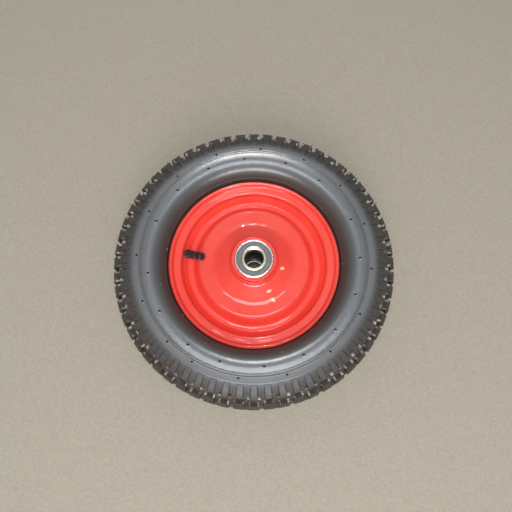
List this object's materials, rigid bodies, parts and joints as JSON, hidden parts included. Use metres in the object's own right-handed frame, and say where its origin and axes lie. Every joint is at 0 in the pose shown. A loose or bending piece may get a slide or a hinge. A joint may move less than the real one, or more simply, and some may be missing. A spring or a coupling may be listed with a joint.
{
  "type": "wheelbarrow wheel",
  "caption": "Pneumatic wheelbarrow wheel with a lugged tyre on a pressed steel rim, a sealed ball bearing at each end of its hub tube, an inner tube and an angled air valve.",
  "frame": {"origin": "centre of the wheel, on its axis, half way between the two sides", "axes": "+Z along the wheel's axis, towards the side with the air valve; the valve leaves the rim near -X"},
  "size_m": [0.3922, 0.3922, 0.108],
  "materials": {
    "tyre_rubber": "satin sidewall, dusty tread",
    "red_paint": "gloss",
    "tube_rubber": "matte",
    "stem_rubber": "satin",
    "brass": "satin",
    "cap_plastic": "matte",
    "ring_steel": "ground",
    "seal_rubber": "satin",
    "ball_steel": "polished",
    "cage_steel": "satin",
    "sleeve_steel": "satin"
  },
  "bodies": {
    "wheel": {"tyre": "tyre_rubber", "rim_upper_half": "red_paint", "rim_lower_half": "red_paint", "hub_tube": "red_paint", "inner_tube": "tube_rubber", "valve_stem": "stem_rubber", "valve_body": "brass", "valve_core": "brass", "upper_bearing_outer_ring": "ring_steel", "upper_bearing_face_seal": "seal_rubber", "upper_bearing_back_seal": "seal_rubber", "lower_bearing_outer_ring": "ring_steel", "lower_bearing_face_seal": "seal_rubber", "lower_bearing_back_seal": "seal_rubber"},
    "inner_rings": {"upper_bearing_inner_ring": "ring_steel", "lower_bearing_inner_ring": "ring_steel", "spacer_sleeve": "sleeve_steel"},
    "upper_ball_set": {"upper_bearing_balls": "ball_steel", "upper_bearing_cage": "cage_steel"},
    "lower_ball_set": {"lower_bearing_balls": "ball_steel", "lower_bearing_cage": "cage_steel"},
    "valve_cap": {"valve_cap": "cap_plastic"},
    "valve_pin": {"valve_pin": "brass"}
  },
  "joints": [
    {"name": "wheel_spin", "type": "hinge", "parent": "wheel", "child": "inner_rings", "pos_m": [0, 0, 0], "axis": [0, 0, 1], "continuous": true},
    {"name": "upper_balls_roll", "type": "hinge", "parent": "wheel", "child": "upper_ball_set", "pos_m": [0, 0, 0.0415], "axis": [0, 0, 1], "continuous": true},
    {"name": "lower_balls_roll", "type": "hinge", "parent": "wheel", "child": "lower_ball_set", "pos_m": [0, 0, -0.0415], "axis": [0, 0, 1], "continuous": true},
    {"name": "valve_cap_off", "type": "slide", "parent": "wheel", "child": "valve_cap", "axis": [0.657, -0.2614, 0.7071], "range_m": [0, 0.012]},
    {"name": "valve_pin_press", "type": "slide", "parent": "wheel", "child": "valve_pin", "axis": [-0.657, 0.2614, -0.7071], "range_m": [0, 0.0012], "stiffness_N_per_m": 300}
  ],
  "couplings": [
    {"joint": "upper_balls_roll", "follows": "wheel_spin", "ratio": 0.39691},
    {"joint": "lower_balls_roll", "follows": "wheel_spin", "ratio": 0.39691}
  ]
}
